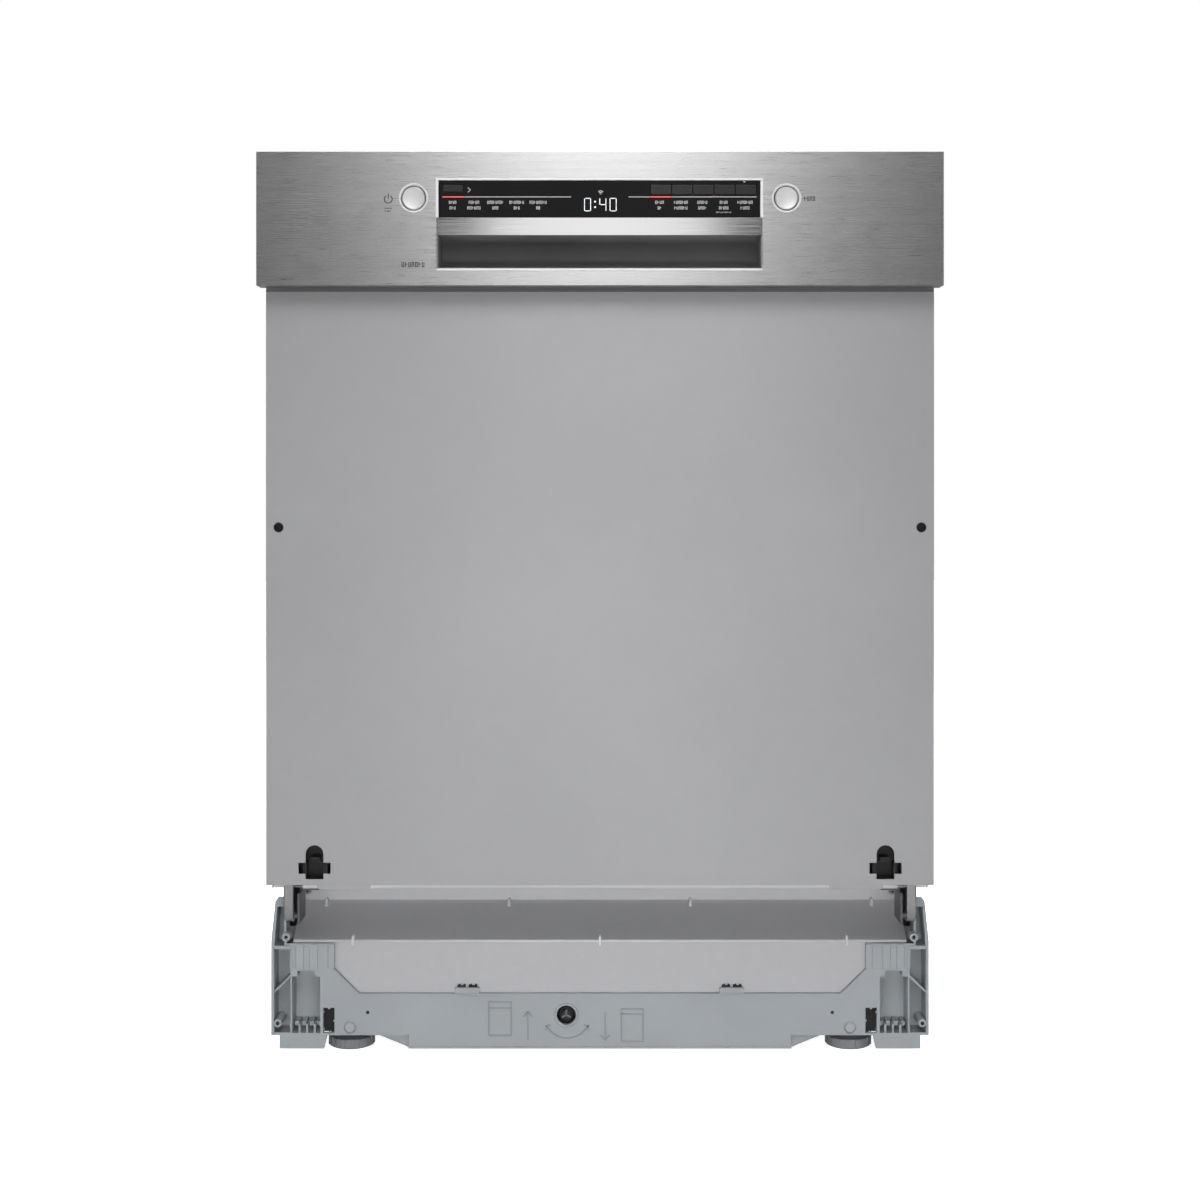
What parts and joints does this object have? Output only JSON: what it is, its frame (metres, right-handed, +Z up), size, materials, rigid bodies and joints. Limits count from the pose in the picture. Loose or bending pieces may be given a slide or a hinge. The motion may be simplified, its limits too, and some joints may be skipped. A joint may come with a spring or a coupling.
{
  "type": "built-in dishwasher",
  "caption": "Built-in dishwasher with a drop-down door, steel control panel with grip recess, sliding racks, spray arms and height-adjustable feet.",
  "frame": {"origin": "centre of the bounding box at the underside of the feet", "axes": "+X right seen from the front, +Y from the front into the machine, +Z up"},
  "size_m": [0.598, 0.573, 0.815],
  "materials": {
    "fascia_steel": "horizontally brushed, satin",
    "door_steel": "smooth grey coated sheet",
    "stainless": "satin",
    "zinc_sheet": "dull galvanised sheet",
    "chrome": "satin chrome",
    "dark_steel": "dark phosphated steel",
    "grey_plastic": "fine matt grain",
    "light_plastic": "smooth",
    "black_plastic": "fine matt grain",
    "charcoal_plastic": "satin",
    "white_plastic": "smooth",
    "blue_plastic": "smooth",
    "display_black": "glossy dark panel",
    "black_rubber": "matt",
    "rack_coating": "coated wire"
  },
  "bodies": {
    "cabinet": {"base_tray": "grey_plastic", "front_carrier": "grey_plastic", "toe_plate": "zinc_sheet", "left_side_panel": "zinc_sheet", "right_side_panel": "zinc_sheet", "rear_panel": "zinc_sheet", "top_panel": "zinc_sheet", "tub": "stainless", "tub_seal": "black_rubber", "water_reservoir": "white_plastic", "sump": "grey_plastic", "circulation_pump": "black_plastic", "drain_pump": "black_plastic", "roof_shower": "grey_plastic", "feed_pipe": "grey_plastic", "left_rail": "stainless", "right_rail": "stainless", "inlet_valve": "white_plastic", "left_hinge_bracket": "zinc_sheet", "right_hinge_bracket": "zinc_sheet", "latch_strike": "dark_steel"},
    "door": {"door_outer_panel": "door_steel", "door_inner_panel": "stainless", "control_panel": "fascia_steel", "insert_frame": "chrome", "display_glass": "display_black", "handle_bar": "chrome", "handle_pocket": "charcoal_plastic", "lower_seal": "black_rubber", "left_hinge_arm": "stainless", "right_hinge_arm": "stainless", "door_latch": "black_plastic", "dispenser_housing": "light_plastic"},
    "upper_rack": {"upper_rack": "rack_coating"},
    "lower_rack": {"lower_rack": "rack_coating", "cutlery_basket": "grey_plastic", "left_wheel_carrier": "grey_plastic", "right_wheel_carrier": "grey_plastic"},
    "upper_spray_arm": {"upper_spray_arm": "grey_plastic"},
    "lower_spray_arm": {"lower_spray_arm": "grey_plastic"},
    "filter": {"filter_cylinder": "grey_plastic"},
    "salt_cap": {"salt_cap": "grey_plastic"},
    "rear_foot_shaft": {"rear_foot_shaft": "dark_steel"},
    "rear_foot": {"rear_foot": "grey_plastic"},
    "left_foot": {"left_foot": "grey_plastic"},
    "right_foot": {"right_foot": "grey_plastic"},
    "dispenser_lid": {"dispenser_lid": "light_plastic"},
    "rinse_aid_cap": {"rinse_aid_cap": "blue_plastic"},
    "power_button": {"power_button": "light_plastic"},
    "start_button": {"start_button": "light_plastic"},
    "program_key": {"program_key": "display_black"},
    "option_key_1": {"option_key_1": "display_black"},
    "option_key_2": {"option_key_2": "display_black"},
    "option_key_3": {"option_key_3": "display_black"},
    "option_key_4": {"option_key_4": "display_black"},
    "option_key_5": {"option_key_5": "display_black"},
    "front_left_wheel": {"front_left_wheel": "grey_plastic"},
    "front_right_wheel": {"front_right_wheel": "grey_plastic"},
    "rear_left_wheel": {"rear_left_wheel": "grey_plastic"},
    "rear_right_wheel": {"rear_right_wheel": "grey_plastic"}
  },
  "joints": [
    {"name": "door_hinge", "type": "hinge", "parent": "cabinet", "child": "door", "pos_m": [0, -0.2165, 0.1245], "axis": [1, 0, 0], "range_deg": [0, 90], "stiffness_Nm_per_rad": 18},
    {"name": "upper_rack_slide", "type": "slide", "parent": "cabinet", "child": "upper_rack", "axis": [0, -1, 0], "range_m": [0, 0.4495]},
    {"name": "lower_rack_slide", "type": "slide", "parent": "cabinet", "child": "lower_rack", "axis": [0, -1, 0], "range_m": [0, 0.1655]},
    {"name": "upper_arm_spin", "type": "hinge", "parent": "upper_rack", "child": "upper_spray_arm", "pos_m": [0, 0.0285, 0.415], "axis": [0, 0, 1], "continuous": true},
    {"name": "lower_arm_spin", "type": "hinge", "parent": "cabinet", "child": "lower_spray_arm", "pos_m": [0, 0.0285, 0.175], "axis": [0, 0, 1], "continuous": true},
    {"name": "filter_twist", "type": "hinge", "parent": "cabinet", "child": "filter", "pos_m": [0, 0.0285, 0.151], "axis": [0, 0, 1], "range_deg": [0, 90]},
    {"name": "salt_cap_twist", "type": "hinge", "parent": "cabinet", "child": "salt_cap", "pos_m": [-0.15, 0.0935, 0.151], "axis": [0, 0, 1], "range_deg": [0, 360]},
    {"name": "rear_foot_shaft_turn", "type": "hinge", "parent": "cabinet", "child": "rear_foot_shaft", "pos_m": [-0.0306, -0.208, 0.0315], "axis": [0, 1, 0], "range_deg": [0, 7200]},
    {"name": "rear_foot_screw", "type": "slide", "parent": "cabinet", "child": "rear_foot", "axis": [0, 0, -1], "range_m": [0, 0.0601]},
    {"name": "left_foot_screw", "type": "slide", "parent": "cabinet", "child": "left_foot", "axis": [0, 0, -1], "range_m": [0, 0.05]},
    {"name": "right_foot_screw", "type": "slide", "parent": "cabinet", "child": "right_foot", "axis": [0, 0, -1], "range_m": [0, 0.05]},
    {"name": "dispenser_lid_slide", "type": "slide", "parent": "door", "child": "dispenser_lid", "axis": [1, 0, 0], "range_m": [0, 0.035]},
    {"name": "rinse_aid_cap_twist", "type": "hinge", "parent": "door", "child": "rinse_aid_cap", "pos_m": [0.06, -0.226, 0.495], "axis": [0, 1, 0], "range_deg": [-90, 0]},
    {"name": "power_press", "type": "slide", "parent": "door", "child": "power_button", "axis": [0, 1, 0], "range_m": [0, 0.0015], "stiffness_N_per_m": 800, "springref_m": -0.001},
    {"name": "start_press", "type": "slide", "parent": "door", "child": "start_button", "axis": [0, 1, 0], "range_m": [0, 0.0015], "stiffness_N_per_m": 800, "springref_m": -0.001},
    {"name": "program_key_press", "type": "slide", "parent": "door", "child": "program_key", "axis": [0, 1, 0], "range_m": [0, 0.001], "stiffness_N_per_m": 800, "springref_m": -0.001},
    {"name": "option_key_1_press", "type": "slide", "parent": "door", "child": "option_key_1", "axis": [0, 1, 0], "range_m": [0, 0.001], "stiffness_N_per_m": 800, "springref_m": -0.001},
    {"name": "option_key_2_press", "type": "slide", "parent": "door", "child": "option_key_2", "axis": [0, 1, 0], "range_m": [0, 0.001], "stiffness_N_per_m": 800, "springref_m": -0.001},
    {"name": "option_key_3_press", "type": "slide", "parent": "door", "child": "option_key_3", "axis": [0, 1, 0], "range_m": [0, 0.001], "stiffness_N_per_m": 800, "springref_m": -0.001},
    {"name": "option_key_4_press", "type": "slide", "parent": "door", "child": "option_key_4", "axis": [0, 1, 0], "range_m": [0, 0.001], "stiffness_N_per_m": 800, "springref_m": -0.001},
    {"name": "option_key_5_press", "type": "slide", "parent": "door", "child": "option_key_5", "axis": [0, 1, 0], "range_m": [0, 0.001], "stiffness_N_per_m": 800, "springref_m": -0.001},
    {"name": "front_left_wheel_roll", "type": "hinge", "parent": "lower_rack", "child": "front_left_wheel", "pos_m": [-0.256, -0.1045, 0.1675], "axis": [1, 0, 0], "range_deg": [0, 527]},
    {"name": "front_right_wheel_roll", "type": "hinge", "parent": "lower_rack", "child": "front_right_wheel", "pos_m": [0.256, -0.1045, 0.1675], "axis": [1, 0, 0], "range_deg": [0, 527]},
    {"name": "rear_left_wheel_roll", "type": "hinge", "parent": "lower_rack", "child": "rear_left_wheel", "pos_m": [-0.256, 0.1835, 0.1675], "axis": [1, 0, 0], "range_deg": [0, 527]},
    {"name": "rear_right_wheel_roll", "type": "hinge", "parent": "lower_rack", "child": "rear_right_wheel", "pos_m": [0.256, 0.1835, 0.1675], "axis": [1, 0, 0], "range_deg": [0, 527]}
  ],
  "couplings": [
    {"joint": "upper_rack_slide", "follows": "door_hinge", "m_per_rad": 0.286},
    {"joint": "lower_rack_slide", "follows": "door_hinge", "m_per_rad": 0.105},
    {"joint": "rear_foot_screw", "follows": "rear_foot_shaft_turn", "m_per_rad": 0.00047746},
    {"joint": "front_left_wheel_roll", "follows": "door_hinge", "ratio": 5.8333},
    {"joint": "front_right_wheel_roll", "follows": "door_hinge", "ratio": 5.8333},
    {"joint": "rear_left_wheel_roll", "follows": "door_hinge", "ratio": 5.8333},
    {"joint": "rear_right_wheel_roll", "follows": "door_hinge", "ratio": 5.8333}
  ]
}
